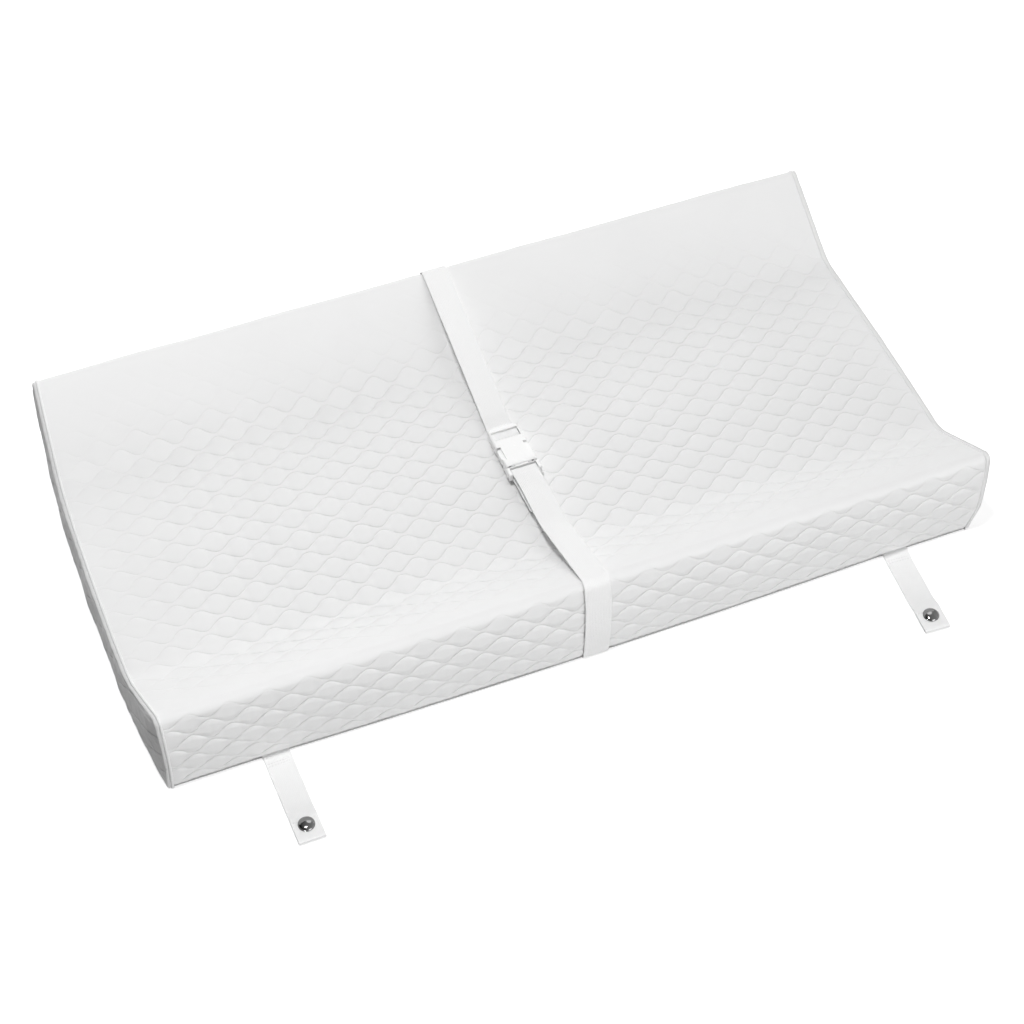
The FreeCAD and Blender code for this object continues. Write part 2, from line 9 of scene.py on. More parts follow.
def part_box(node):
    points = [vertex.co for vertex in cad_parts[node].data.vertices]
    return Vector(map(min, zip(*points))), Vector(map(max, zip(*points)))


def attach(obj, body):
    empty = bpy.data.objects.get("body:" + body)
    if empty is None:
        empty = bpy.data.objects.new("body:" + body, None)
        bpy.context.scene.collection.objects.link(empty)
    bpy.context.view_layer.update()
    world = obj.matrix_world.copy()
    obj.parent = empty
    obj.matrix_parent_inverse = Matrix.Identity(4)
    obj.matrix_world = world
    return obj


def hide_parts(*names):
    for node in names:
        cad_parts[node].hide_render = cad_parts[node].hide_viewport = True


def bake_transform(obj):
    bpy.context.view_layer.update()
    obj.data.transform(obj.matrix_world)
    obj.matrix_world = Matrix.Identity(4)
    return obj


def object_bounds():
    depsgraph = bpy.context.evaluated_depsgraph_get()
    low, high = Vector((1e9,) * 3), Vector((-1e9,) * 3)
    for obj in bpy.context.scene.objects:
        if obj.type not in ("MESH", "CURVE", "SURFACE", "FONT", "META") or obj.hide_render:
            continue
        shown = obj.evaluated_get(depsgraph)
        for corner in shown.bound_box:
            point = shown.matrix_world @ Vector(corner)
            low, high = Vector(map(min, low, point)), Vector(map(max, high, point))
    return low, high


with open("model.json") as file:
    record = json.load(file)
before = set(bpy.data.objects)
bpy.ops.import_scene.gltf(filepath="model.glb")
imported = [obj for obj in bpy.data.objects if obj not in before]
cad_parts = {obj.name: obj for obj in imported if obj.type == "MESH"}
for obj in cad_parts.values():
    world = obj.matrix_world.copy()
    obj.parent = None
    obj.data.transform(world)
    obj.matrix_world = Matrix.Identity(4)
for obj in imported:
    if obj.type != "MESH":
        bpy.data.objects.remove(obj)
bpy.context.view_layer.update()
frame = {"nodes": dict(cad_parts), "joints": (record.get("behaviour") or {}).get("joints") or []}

# A contoured changing pad with a quilted cover, a buckled belt and two snap straps.
# Everything is in metres in the pad's own frame: +X along the pad, +Y to its back, +Z up.

MM = 0.001
JOINTS = {joint["name"]: joint for joint in frame["joints"]}
COVER_LOW, COVER_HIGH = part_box("quilted_cover")
BASE_LOW, BASE_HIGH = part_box("base_panel")
WEB_THICKNESS = 1.4 * MM
WEB_WIDTH = 25 * MM
WEB_CLEARANCE = 0.3 * MM
BELT_X = JOINTS["belt_release"]["pos_m"][0]
BELT_PLACE = Matrix.Translation((BELT_X, 0, 0))

# The quilting: rows of waves along the pad, each the mirror of the next, so that they close into cells.
WAVE_LENGTH = 34.9 * MM
WAVE_RISE = 4.9 * MM
ROW_PITCH = 13.3 * MM
# The groove that the thread pulls into the cover, by distance from its line.
GROOVE_PLACES = [0, 0.45 * MM, 1.1 * MM]
GROOVE_DEPTHS = [1.0 * MM, 0.35 * MM, 0]
PUFF_HEIGHT = 0.35 * MM
# How strongly the lines show: by distance inwards from a ridge's crest, and from each end.
FADE_PLACES = [-14 * MM, -9 * MM, -5 * MM, -1 * MM, 22 * MM, 50 * MM, 85 * MM, 110 * MM]
FADE_FRONT = [1.0, 0.45, 0.06, 0.0, 0.25, 0.85, 1.0, 1.0]
FADE_BACK = [1.0, 0.7, 0.2, 0.0, 0.06, 0.12, 0.6, 1.0]
END_PLACES = [0, 12 * MM, 45 * MM, 110 * MM]
END_FADES = {-1: [0.1, 0.25, 0.5, 1.0], 1: [0.2, 0.5, 0.9, 1.0]}
# How far the stuffed pad bellies out beyond its straight outline.
END_BELLY = {-1: 8.5 * MM, 1: 1.5 * MM}
END_FOOT_BELLY = {-1: 4 * MM, 1: 1.5 * MM}
FRONT_FOOT_BELLY = 4 * MM
CORNER_TUCK = 5 * MM
BACK_LEAN = 4.5 * MM
# How far the belt presses into the cover, and how the cover turns in at its bottom hem.
BELT_DENT = 0.7 * MM
HEM_DEPTH, HEM_REACH = 2.4 * MM, 4.5 * MM


# ---------------------------------------------------------------- lines in the YZ plane


def unit(vector):
    return vector / np.linalg.norm(vector)


class RoundedLine:
    """A line through corners (y, z, radius), rounded at each corner and measured along its length."""

    def __init__(self, corners, step=0.4 * MM):
        points = [np.array(corners[0][:2])]
        for before, (y, z, radius), after in zip(corners, corners[1:], corners[2:]):
            points += self.arc(np.array(before[:2]), np.array((y, z)), np.array(after[:2]), radius)
        points.append(np.array(corners[-1][:2]))
        points = np.array(points)
        lengths = self.measure(points)
        self.length = lengths[-1]
        self.s = np.linspace(0, self.length, max(8, int(self.length / step)))
        self.y = np.interp(self.s, lengths, points[:, 0])
        self.z = np.interp(self.s, lengths, points[:, 1])

    @staticmethod
    def arc(before, here, after, radius):
        if radius == 0:
            return [here]
        back, ahead = unit(before - here), unit(after - here)
        half = math.acos(np.clip(back @ ahead, -1, 1)) / 2
        centre = here + unit(back + ahead) * radius / math.sin(half)
        start, end = here + back * radius / math.tan(half), here + ahead * radius / math.tan(half)
        first = math.atan2(*(start - centre)[::-1])
        sweep = (math.atan2(*(end - centre)[::-1]) - first + math.pi) % (2 * math.pi) - math.pi
        angles = first + np.linspace(0, sweep, 2 + int(abs(sweep) * 30))
        return [centre + radius * np.array((math.cos(a), math.sin(a))) for a in angles]

    @staticmethod
    def measure(points):
        return np.concatenate([[0], np.cumsum(np.linalg.norm(np.diff(points, axis=0), axis=1))])

    def at(self, s):
        return np.interp(s, self.s, self.y), np.interp(s, self.s, self.z)

    def normal(self, s):
        """The direction to the left of the line."""
        dy, dz = np.gradient(self.y), np.gradient(self.z)
        size = np.hypot(dy, dz)
        return np.interp(s, self.s, -dz / size), np.interp(s, self.s, dy / size)

    def where(self, y):
        """How far along the line its y first reaches a value."""
        return self.s[np.argmax(self.y >= y)]


def ripples(u, v, wavelength, seed, count=9):
    """A smooth, repeatable unevenness of about -1 to 1."""
    source = np.random.default_rng(seed)
    total = np.zeros(np.broadcast(u, v).shape)
    for _ in range(count):
        angle, phase = source.uniform(0, 2 * math.pi, 2)
        pitch = wavelength * source.uniform(0.7, 1.6)
        total += np.sin((u * math.cos(angle) + v * math.sin(angle)) * 2 * math.pi / pitch + phase)
    return total / math.sqrt(count) / 1.4


def ramp(value, low, high):
    """A smooth rise from 0 at low to 1 at high."""
    share = np.clip((value - low) / (high - low), 0, 1)
    return share * share * (3 - 2 * share)


def settle(points):
    """Moves points with the slow bulges of the stuffed pad, which its cover, seams and belt share."""
    x, y, z = points[..., 0], points[..., 1], points[..., 2]
    half_depth = COVER_HIGH.y
    height = np.clip(z / COVER_HIGH.z, 0, 1)
    near_end = ramp(np.abs(x), 150 * MM, COVER_HIGH.x)
    across = np.clip(1 - np.abs(y / half_depth) ** 2.6, 0, 1)
    left = x < 0
    belly = np.where(left, END_BELLY[-1], END_BELLY[1])
    foot = np.where(left, END_FOOT_BELLY[-1], END_FOOT_BELLY[1]) * (1 - height)
    along = np.clip(1 - (x / (300 * MM)) ** 2, 0, 1)
    front = ramp(-y, 0.7 * half_depth, half_depth) * (1 - height) * along
    back = ramp(y, 0.5 * half_depth, half_depth) * height
    low = ramp(-z, -40 * MM, 0)
    corner = ramp(-y, 0.75 * half_depth, half_depth) * low * ramp(x, 340 * MM, COVER_HIGH.x)
    moved = points.copy()
    moved[..., 0] += np.sign(x) * (belly + foot) * across * near_end - CORNER_TUCK * corner
    moved[..., 1] += BACK_LEAN * back - FRONT_FOOT_BELLY * front
    return moved


# ---------------------------------------------------------------- meshes


def make_object(name, vertices, faces, material, flat=0):
    """A mesh object whose faces shade smoothly, apart from the last few, which keep crisp edges."""
    mesh = bpy.data.meshes.new(name)
    mesh.from_pydata([tuple(map(float, v)) for v in vertices], [], [list(map(int, f)) for f in faces])
    mesh.materials.append(material)
    smooth = len(mesh.polygons) - flat
    mesh.polygons.foreach_set("use_smooth", [True] * smooth + [False] * flat)
    crisp = {key for number in range(smooth, smooth + flat) for key in mesh.polygons[number].edge_keys}
    mesh.edges.foreach_set("use_edge_sharp", [edge.key in crisp for edge in mesh.edges])
    mesh.update()
    piece = bpy.data.objects.new(name, mesh)
    bpy.context.scene.collection.objects.link(piece)
    return piece


def grid_faces(index):
    """Quads between the rows and columns of an array of vertex numbers."""
    corners = (index[:-1, :-1], index[:-1, 1:], index[1:, 1:], index[1:, :-1])
    return np.stack(corners, -1).reshape(-1, 4)


def rim(index):
    """The border of a grid of vertex numbers, in the order that closes its faces."""
    return np.concatenate([index[0, :-1], index[:-1, -1], index[-1, :0:-1], index[:0:-1, 0]])


# ---------------------------------------------------------------- materials


class Shader:
    """A material built node by node round one Principled surface."""

    def __init__(self, name, **surface):
        self.material = bpy.data.materials.new(name)
        self.material.use_nodes = True
        self.tree = self.material.node_tree
        self.surface = self.tree.nodes["Principled BSDF"]
        self.set(self.surface, {key.replace("_", " "): value for key, value in surface.items()})

    def set(self, node, inputs):
        for key, value in inputs.items():
            socket = node.inputs[key]
            if isinstance(value, bpy.types.NodeSocket):
                self.tree.links.new(value, socket)
            else:
                socket.default_value = value

    def add(self, kind, inputs=None, **settings):
        node = self.tree.nodes.new(f"ShaderNode{kind}")
        for key, value in settings.items():
            setattr(node, key, value)
        self.set(node, inputs or {})
        return node

    def place(self):
        """Positions on the piece, in metres."""
        return self.add("TexCoord").outputs["Object"]

    def noise(self, vector, scale, detail=2.0):
        inputs = {"Vector": vector, "Scale": scale, "Detail": detail}
        return self.add("TexNoise", inputs).outputs["Fac"]

    def compute(self, kind, first, second):
        """One step of arithmetic on two values."""
        return self.add("Math", {0: first, 1: second}, operation=kind).outputs[0]

    def spread(self, value, low, high):
        """A 0 to 1 value laid between two numbers."""
        return self.add("MapRange", {"Value": value, "To Min": low, "To Max": high}).outputs["Result"]

    def tint(self, factor, dark, light):
        """A colour between two, by a 0 to 1 value."""
        node = self.add("Mix", data_type="RGBA")
        self.set(node, {0: factor, 6: (*dark, 1), 7: (*light, 1)})
        return node.outputs[2]

    def finish(self, colour=None, roughness=None, height=None, distance=0.1 * MM, strength=1.0):
        """Joins the results to the surface and gives the material."""
        inputs = {}
        if colour is not None:
            inputs["Base Color"] = colour
        if roughness is not None:
            inputs["Roughness"] = roughness
        if height is not None:
            bump = self.add("Bump", {"Height": height, "Distance": distance, "Strength": strength})
            inputs["Normal"] = bump.outputs["Normal"]
        self.set(self.surface, inputs)
        return self.material


def grey(value, warmth=0.0):
    return (value, value, value * (1 - warmth))


def quilted_vinyl(name, dark, light):
    """A soft, faintly grained skin, with painted shade darkening its stitched grooves."""
    shader = Shader(name, Sheen_Weight=0.15, Sheen_Roughness=0.4)
    place = shader.place()
    groove_shade = shader.add("Attribute", attribute_name="groove_shade").outputs["Fac"]
    cloud = shader.noise(place, 14, 3)
    grain = shader.noise(place, 1600, 3)
    threads = shader.add("TexVoronoi", {"Vector": place, "Scale": 1100.0}).outputs["Distance"]
    skin = shader.tint(cloud, grey(dark), grey(light))
    # Painted shade: the colour darkens along the stitched grooves.
    sewn_and_shaded = shader.add("Mix", data_type="RGBA")
    shader.set(sewn_and_shaded, {0: shader.spread(groove_shade, 0.0, 0.2), 6: skin, 7: (*grey(0.75 * dark), 1)})
    rough = shader.spread(cloud, 0.5, 0.66)
    grain, threads = shader.compute("MULTIPLY", grain, 0.7), shader.compute("MULTIPLY", threads, 0.5)
    height = shader.compute("ADD", grain, threads)
    return shader.finish(sewn_and_shaded.outputs[2], rough, height, distance=0.06 * MM, strength=0.5)


def welt_vinyl():
    shader = Shader("welt_vinyl", Sheen_Weight=0.1)
    place = shader.place()
    grain = shader.noise(place, 1300, 3)
    cloud = shader.noise(place, 30, 2)
    colour = shader.tint(cloud, grey(0.74), grey(0.82))
    return shader.finish(colour, shader.spread(grain, 0.38, 0.55), grain, distance=0.08 * MM)


def base_cloth():
    shader = Shader("base_cloth")
    place = shader.place()
    across = shader.add("TexWave", {"Vector": place, "Scale": 260.0, "Distortion": 0.6})
    along = shader.add("TexWave", {"Vector": place, "Scale": 260.0, "Distortion": 0.6}, bands_direction="Y")
    weave = shader.compute("MAXIMUM", across.outputs["Fac"], along.outputs["Fac"])
    colour = shader.tint(weave, grey(0.6), grey(0.72))
    return shader.finish(colour, shader.spread(weave, 0.7, 0.9), weave, distance=0.15 * MM)


def webbing_cloth():
    """Narrow ribs along the strap, crossed by the weft. UV is in metres: along, then across."""
    shader = Shader("webbing", Sheen_Weight=0.25, Sheen_Roughness=0.5)
    uv = shader.add("UVMap", uv_map="weave").outputs["UV"]
    part = shader.add("SeparateXYZ", {"Vector": uv}).outputs
    rib = shader.compute("SINE", shader.compute("MULTIPLY", part["Y"], 2 * math.pi / (1.5 * MM)), 0.0)
    weft = shader.compute("SINE", shader.compute("MULTIPLY", part["X"], 2 * math.pi / (1.15 * MM)), 0.0)
    weave = shader.compute("MULTIPLY", rib, weft)
    height = shader.compute("ADD", weave, shader.compute("MULTIPLY", rib, 0.35))
    fuzz = shader.noise(uv, 2200, 2)
    height = shader.compute("ADD", height, shader.compute("MULTIPLY", fuzz, 0.6))
    lift = shader.spread(height, 0.35, 0.9)
    colour = shader.tint(lift, grey(0.85), grey(0.97))
    return shader.finish(colour, shader.spread(fuzz, 0.6, 0.8), height, distance=0.14 * MM, strength=0.8)


def thread():
    shader = Shader("thread", Roughness=0.6, Sheen_Weight=0.3)
    place = shader.place()
    twist = shader.add("TexWave", {"Vector": place, "Scale": 900.0}, bands_direction="DIAGONAL")
    colour = shader.tint(twist.outputs["Fac"], grey(0.74), grey(0.86))
    return shader.finish(colour, None, twist.outputs["Fac"], distance=0.05 * MM)


def buckle_plastic():
    shader = Shader("buckle_plastic", IOR=1.49, Coat_Weight=0.15, Coat_Roughness=0.2)
    place = shader.place()
    cloud = shader.noise(place, 60, 3)
    grain = shader.noise(place, 2400, 2)
    scuff = shader.add("TexNoise", {"Vector": place, "Scale": 320.0, "Detail": 6.0, "Roughness": 0.75})
    rough = shader.spread(scuff.outputs["Fac"], 0.16, 0.34)
    colour = shader.tint(cloud, grey(0.9, 0.005), grey(0.95))
    return shader.finish(colour, rough, grain, distance=0.02 * MM, strength=0.4)


def snap_metal():
    shader = Shader("snap_metal", Metallic=1.0)
    place = shader.place()
    brush = shader.noise(place, 700, 4)
    wear_and_dark_reflection = shader.noise(place, 240, 3)
    # The metal is kept dark to stand in for dark surroundings in its reflections: painted reflection, varied
    # in patches.
    colour = shader.tint(wear_and_dark_reflection, grey(0.25), grey(0.38))
    return shader.finish(colour, shader.spread(brush, 0.05, 0.16), brush, distance=0.01 * MM, strength=0.3)


def foam():
    shader = Shader("foam", Roughness=0.9)
    place = shader.place()
    cells = shader.add("TexVoronoi", {"Vector": place, "Scale": 900.0}).outputs["Distance"]
    colour = shader.tint(cells, grey(0.62, 0.12), grey(0.85, 0.1))
    return shader.finish(colour, None, cells, distance=0.2 * MM)


MATERIALS = {
    "quilted_vinyl": quilted_vinyl("quilted_vinyl", 0.785, 0.825),
    # The ends use a darker copy of the cover's vinyl: painted shade.
    "end_vinyl_shaded": quilted_vinyl("end_vinyl_shaded", 0.72, 0.77),
    "welt_vinyl": welt_vinyl(),
    "base_cloth": base_cloth(),
    "webbing": webbing_cloth(),
    "thread": thread(),
    "buckle_plastic": buckle_plastic(),
    "snap_metal": snap_metal(),
    "foam": foam(),
}


# ---------------------------------------------------------------- quilting


def wave(row, along):
    """How far across the rows a stitched line lies, at a place along it."""
    return row * ROW_PITCH + np.where(row % 2, -1, 1) * WAVE_RISE * np.cos(along * 2 * np.pi / WAVE_LENGTH)


def puff(share, gap):
    """Height of the padding between two stitched lines, at a share of the gap between them."""
    full_gap = 10 * MM
    return PUFF_HEIGHT * (1 - np.abs(2 * share - 1) ** 4) * np.clip(gap / full_gap, 0.3, 1)


def groove(distance):
    """Depth of the stitched groove at a distance from its line."""
    return np.interp(distance, GROOVE_PLACES, GROOVE_DEPTHS)


def pad_section():
    """The pad's outline from its front foot over both ridges to its back foot. The radii are its bends."""
    foot = (-BASE_HIGH.y - 1 * MM, BASE_HIGH.z, 0)
    wall = (-209.45 * MM, 48.79 * MM, 307 * MM)
    ridge = (-201.6 * MM, 106.69 * MM, 6.5 * MM)
    slope_foot = (-119 * MM, 51.5 * MM, 40 * MM)
    valley = (0, 55.33 * MM, 2955 * MM)
    front = [foot, wall, ridge, slope_foot]
    back = [(-y, z, radius) for y, z, radius in reversed(front)]
    return RoundedLine(front + [valley] + back)


SECTION = pad_section()
# How far along the section each ridge's crest lies.
RIDGES = [SECTION.s[np.argmax(np.where(SECTION.y * side > 0, SECTION.z, 0))] for side in (-1, 1)]


def band_rows():
    """Grid rows of the cover: (stitched line number, share of the way to the next, offset)."""
    bands = round(SECTION.length / ROW_PITCH)
    close, clear = GROOVE_PLACES[1:]
    rows = []
    for band in range(bands):
        middle = (band + 0.5) * SECTION.length / bands
        near = min(abs(middle - ridge) for ridge in RIDGES) < 1.1 * ROW_PITCH
        rows += [(band, 0, 0), (band, 0, close)]
        rows += [(band, share, clear * (1 - 2 * share)) for share in np.linspace(0, 1, 12 if near else 4)]
        rows.append((band, 1, -close))
    return np.array(rows + [(bands, 0, 0)]), bands


def make_cover(material):
    rows, bands = band_rows()
    length = COVER_HIGH.x - COVER_LOW.x
    columns = round(length / WAVE_LENGTH * 11)
    x = np.linspace(COVER_LOW.x, COVER_HIGH.x, columns + 1)[None, :]
    line, share, offset = rows[:, :1], rows[:, 1:2], rows[:, 2:]

    def place(number):
        edge = (number == 0) | (number == bands)
        straight = number * SECTION.length / bands
        return straight + np.where(edge, 0, wave(number, x) - number * ROW_PITCH)

    low, high = place(line), place(np.minimum(line + 1, bands))
    gap = np.maximum(high - low, 1e-6)
    s = low + gap * share + offset
    y, z = SECTION.at(s)
    ny, nz = SECTION.normal(s)
    flat = np.stack([np.broadcast_to(x, s.shape), y, z], -1)
    normal = np.stack([np.zeros_like(s), ny, nz], -1)
    padded = flat + normal * puff((s - low) / gap, gap)[..., None]

    index = np.arange(s.size).reshape(s.shape)
    sewn_and_shaded = (share == 0) & (offset == 0)
    padded = swell(padded, grid_faces(index), index[sewn_and_shaded | (x == x.min()) | (x == x.max())])
    fade = line_fade(x, s)
    plain = flat + normal * PUFF_HEIGHT
    vertices = plain + (padded - plain) * fade[..., None] ** 2
    depth = groove(np.minimum(s - low, high - s)) * fade
    vertices += normal * (form(x, s) - depth)[..., None]
    vertices[:, 0, 0], vertices[:, -1, 0] = COVER_LOW.x, COVER_HIGH.x
    faces = [list(f) for f in grid_faces(index)]
    faces += [list(index[::-1, 0]), list(index[:, -1])]
    faces.append(list(index[0, ::-1]) + list(index[-1, :]))
    piece = make_object("cover_quilted", settle(vertices).reshape(-1, 3), faces, material, flat=3)
    # The stitched lines get painted shade along their grooves.
    paint_groove_shade(piece, np.where(sewn_and_shaded, 1.0, 0.0) * fade)
    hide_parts("quilted_cover", "foam_core")
    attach(piece, "pad")
    return piece


def paint_groove_shade(piece, values):
    """Stores how much of a stitched line each point is on, which sets the painted shade in its groove."""
    attribute = piece.data.attributes.new("groove_shade", "FLOAT", "POINT")
    attribute.data.foreach_set("value", values.astype(np.float32).ravel())


def swell(points, faces, stitched):
    """Blows the padding up between its stitched lines with a cloth simulation."""
    frames, slack, reach = 12, 0.006, 1.3 * MM
    sheet = make_object("swelling", points.reshape(-1, 3), faces, MATERIALS["foam"])
    group = sheet.vertex_groups.new(name="stitched")
    group.add([int(i) for i in stitched.ravel()], 1.0, "REPLACE")
    cloth = sheet.modifiers.new("cloth", "CLOTH")
    settings = cloth.settings
    settings.quality = 4
    settings.mass = 0.1
    settings.tension_stiffness, settings.compression_stiffness = 15, 8
    settings.shear_stiffness, settings.bending_stiffness = 5, 0.02
    settings.use_pressure = True
    settings.uniform_pressure_force = 1.0
    settings.vertex_group_mass = "stitched"
    settings.shrink_min = -slack
    settings.air_damping = 5
    settings.effector_weights.gravity = 0
    cloth.collision_settings.use_collision = False
    cloth.point_cache.frame_start, cloth.point_cache.frame_end = 1, frames
    for number in range(1, frames + 1):
        bpy.context.scene.frame_set(number)
    result = sheet.evaluated_get(bpy.context.evaluated_depsgraph_get())
    moved = np.zeros(points.size, np.float32)
    result.data.vertices.foreach_get("co", moved)
    bpy.data.objects.remove(sheet)
    bpy.context.scene.frame_set(1)
    step = moved.reshape(points.shape) - points
    size = np.linalg.norm(step, axis=-1, keepdims=True)
    return points + step * np.minimum(1, reach / np.maximum(size, 1e-9))


def line_fade(x, s):
    """How strongly the stitched lines show: they flatten out over the ridges and near the seams."""
    fade = np.ones(np.broadcast(x, s).shape)
    for side, ridge in zip((-1, 1), RIDGES):
        inward = (s - ridge) * -side
        fade = np.minimum(fade, np.interp(inward, FADE_PLACES, FADE_BACK if side > 0 else FADE_FRONT))
    on_top = (s > RIDGES[0]) & (s < RIDGES[1])
    for side, end in ((-1, x - COVER_LOW.x), (1, COVER_HIGH.x - x)):
        ends = np.where(on_top, np.interp(end, END_PLACES, END_FADES[side]), np.clip(end / (8 * MM), 0.2, 1))
        fade = fade * ends
    return fade


def form(x, s):
    """The slow unevenness of the foam, the puckers along the end seams and the belt's dent."""
    end = np.minimum(x - COVER_LOW.x, COVER_HIGH.x - x)
    uneven = 0.5 * MM * ripples(x, s, 120 * MM, seed=3) + 0.16 * MM * ripples(x, s, 34 * MM, seed=4)
    pucker = 0.45 * MM * ripples(x * 0.2, s, 11 * MM, seed=5) * np.exp(-end / (9 * MM))
    drawn = -0.5 * MM * np.exp(-end / (2 * MM))
    foot = np.minimum(s, SECTION.length - s)
    beside = np.abs(x - BELT_X) - WEB_WIDTH / 2
    outside = (s < RIDGES[0] + 8 * MM) | (s > RIDGES[1] - 8 * MM)
    dent = -BELT_DENT * (1 - ramp(beside, -1 * MM, 7 * MM)) * outside
    tuck = -HEM_DEPTH * np.clip(1 - foot / HEM_REACH, 0, 1) ** 2
    loose = (uneven + pucker) * np.clip(foot / (6 * MM), 0, 1) * np.clip(end / (3 * MM), 0, 1)
    return loose + drawn + dent + tuck


# ---------------------------------------------------------------- pad ends and base


def make_end_panel(name, side, material):
    """A quilted end that bulges a little over the foam."""
    low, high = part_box(name)
    outer, inner = (low.x, high.x) if side < 0 else (high.x, low.x)
    columns, rows = 420, 100
    inset, below_turn = 0.6 * MM, 30 * MM
    s = np.linspace(below_turn, SECTION.length - below_turn, columns)
    edge_y, edge_z = SECTION.at(s)
    out_y, out_z = SECTION.normal(s)
    foot_y, _ = SECTION.at(0)
    base_y = np.linspace(foot_y + inset, -foot_y - inset, columns)
    share = np.linspace(0, 1, rows)[:, None]
    y = base_y + share * (edge_y - inset * out_y - base_y)
    z = BASE_HIGH.z + share * (edge_z - inset * out_z - BASE_HIGH.z)
    lines = wave(np.arange(-1, 10)[:, None, None], y[None])
    number = (lines <= z[None]).sum(0) - 1
    below = np.take_along_axis(lines, number[None], 0)[0]
    gap = np.take_along_axis(lines, number[None] + 1, 0)[0] - below
    part = (z - below) / gap
    crease = np.minimum(part, 1 - part) * gap
    border = np.minimum(z - BASE_HIGH.z, edge_distance(y, z))
    hem, bulge_height, bulge_reach = 5 * MM, 3.2 * MM, 30 * MM
    stitch_depth, stitch_place, stitch_width = 0.5 * MM, 4.5 * MM, 0.8 * MM
    soft = np.clip(border / hem, 0, 1)
    bulge = bulge_height * np.sqrt(np.clip(border / bulge_reach, 0, 1))
    wrinkle = 0.8 * MM * ripples(y, z * 0.35, 45 * MM, seed=7 + side) * soft
    folds = 0.5 * MM * ripples(y * 1.6, z * 0.3, 22 * MM, seed=9 + side) * np.exp(-border / (14 * MM)) * soft
    stitch = stitch_depth * np.exp(-((border - stitch_place) / stitch_width) ** 2)
    height = (puff(part, gap) - groove(crease)) * soft - stitch
    x = outer + side * (bulge + height + wrinkle + folds - 0.7 * MM)
    front = settle(np.stack([x, y, z], -1)).reshape(-1, 3)
    index = np.arange(x.size).reshape(x.shape)
    faces = [list(f) for f in grid_faces(index)]
    border_line = rim(index)
    back = np.stack([np.full(x.shape, inner), y, z], -1)
    back = settle(back).reshape(-1, 3)[border_line]
    start, count = x.size, len(border_line)
    for i in range(count):
        j = (i + 1) % count
        faces.append([border_line[j], border_line[i], start + i, start + j])
    faces.append(list(range(start + count - 1, start - 1, -1)))
    if side < 0:
        faces = [face[::-1] for face in faces]
    piece = make_object(f"{name}_quilted", np.concatenate([front, back]), faces, material, flat=1)
    # The creases of the end's quilting get painted shade.
    values = np.zeros(x.size + count)
    values[: x.size] = (np.clip(1 - crease / (0.7 * MM), 0, 1) * soft).ravel()
    paint_groove_shade(piece, values)
    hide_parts(name)
    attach(piece, "pad")
    return piece


def edge_distance(y, z):
    """Distance from points of an end to the pad's outline."""
    outline = np.stack([SECTION.y, SECTION.z], -1)[::6]
    distance = np.full(y.shape, 1.0)
    for place_y, place_z in outline:
        distance = np.minimum(distance, np.hypot(y - place_y, z - place_z))
    return distance


def make_welt(name, side, material):
    """The corded seam that runs round an end of the pad."""
    low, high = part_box(name)
    wide, tall, sides = 1.25 * MM, 0.95 * MM, 12
    middle = (low.x + high.x) / 2
    s = np.linspace(0, SECTION.length, 460)
    y, z = SECTION.at(s)
    ny, nz = SECTION.normal(s)
    lift = -0.2 * MM + 0.2 * MM * ripples(s, 0 * s, 26 * MM, seed=11 + side)
    thick = 1 + 0.1 * ripples(s, 0 * s, 9 * MM, seed=13 + side)
    rings = []
    for angle in np.linspace(0, 2 * math.pi, sides, endpoint=False):
        out = lift + thick * tall * math.sin(angle)
        x = middle + thick * wide * math.cos(angle)
        rings.append(np.stack([x, y + ny * out, z + nz * out], -1))
    vertices = np.stack(rings, 1)
    vertices[0, :, 2] = vertices[-1, :, 2] = BASE_HIGH.z * 0.5
    vertices = settle(vertices)
    index = np.arange(vertices.shape[0] * sides).reshape(-1, sides)
    index = np.concatenate([index, index[:, :1]], 1)
    faces = [list(f) for f in grid_faces(index)] + [list(index[0, -2::-1]), list(index[-1, :-1])]
    faces = [face[::-1] for face in faces]
    piece = make_object(f"{name}_cord", vertices.reshape(-1, 3), faces, material, flat=2)
    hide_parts(name)
    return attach(piece, "pad")


def make_base(material):
    """The flat bottom cloth with a hemmed edge."""
    across = np.linspace(-1, 1, 61)
    low, high = BASE_LOW, BASE_HIGH
    x, y = np.meshgrid(across * high.x, across * high.y)
    hem = 6 * MM
    edge = np.minimum(high.x - np.abs(x), high.y - np.abs(y))
    inset, hollow = 0.1 * MM, 0.25 * MM
    lower = low.z + hollow * np.clip(edge / hem, 0, 1) + inset
    upper = np.full_like(x, high.z - inset)
    index = np.arange(x.size).reshape(x.shape)
    top = np.stack([x, y, upper], -1).reshape(-1, 3)
    bottom = np.stack([x, y, lower], -1).reshape(-1, 3)
    faces = [list(f) for f in grid_faces(index)]
    faces += [list(f[::-1] + x.size) for f in grid_faces(index)]
    ring = rim(index)
    for i, j in zip(ring, np.roll(ring, -1)):
        faces.append([j, i, i + x.size, j + x.size])
    sheet = settle(np.concatenate([top, bottom]))
    piece = make_object("base_cloth_panel", sheet, faces, material, flat=len(ring))
    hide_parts("base_panel")
    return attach(piece, "pad")


# ---------------------------------------------------------------- webbing


